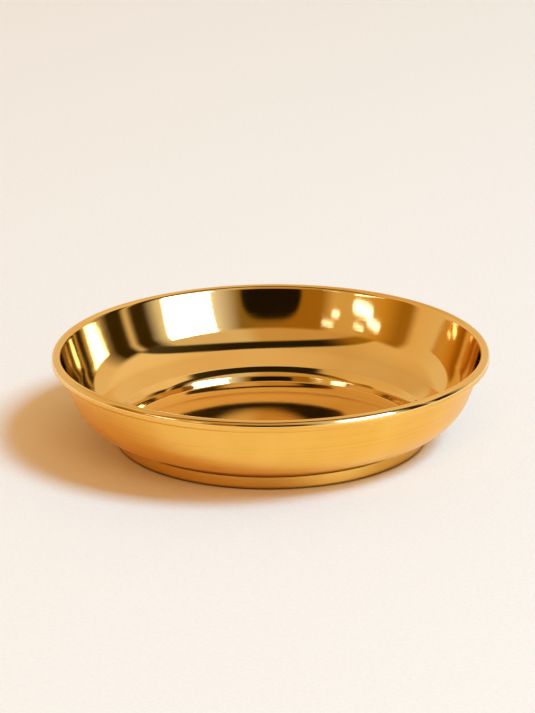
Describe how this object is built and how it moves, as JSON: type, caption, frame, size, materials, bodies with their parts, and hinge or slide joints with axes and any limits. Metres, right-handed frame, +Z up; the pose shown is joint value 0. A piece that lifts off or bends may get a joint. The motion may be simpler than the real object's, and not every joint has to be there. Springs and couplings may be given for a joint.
{
  "type": "pooja plate",
  "caption": "Round shallow brass dish with a leaning wall, rolled wired rim, dropped flat well and foot ring, for holding a lamp, flowers and offerings in worship.",
  "frame": {"origin": "centre of the foot ring's bottom, on the surface that the plate stands on", "axes": "+Z up along the plate's axis of turning; +X and +Y are any two level directions, because the plate is round"},
  "size_m": [0.178, 0.178, 0.037],
  "materials": {
    "polished_brass": "mirror polish inside and on the rim, satin turned outside",
    "satin_brass": "satin, fine turning lines",
    "wire_brass": "drawn wire",
    "solder": "dull, as it set"
  },
  "bodies": {
    "root": {"dish": "polished_brass", "rim_wire": "wire_brass", "foot_ring": "satin_brass", "solder_seam": "solder"}
  },
  "joints": []
}
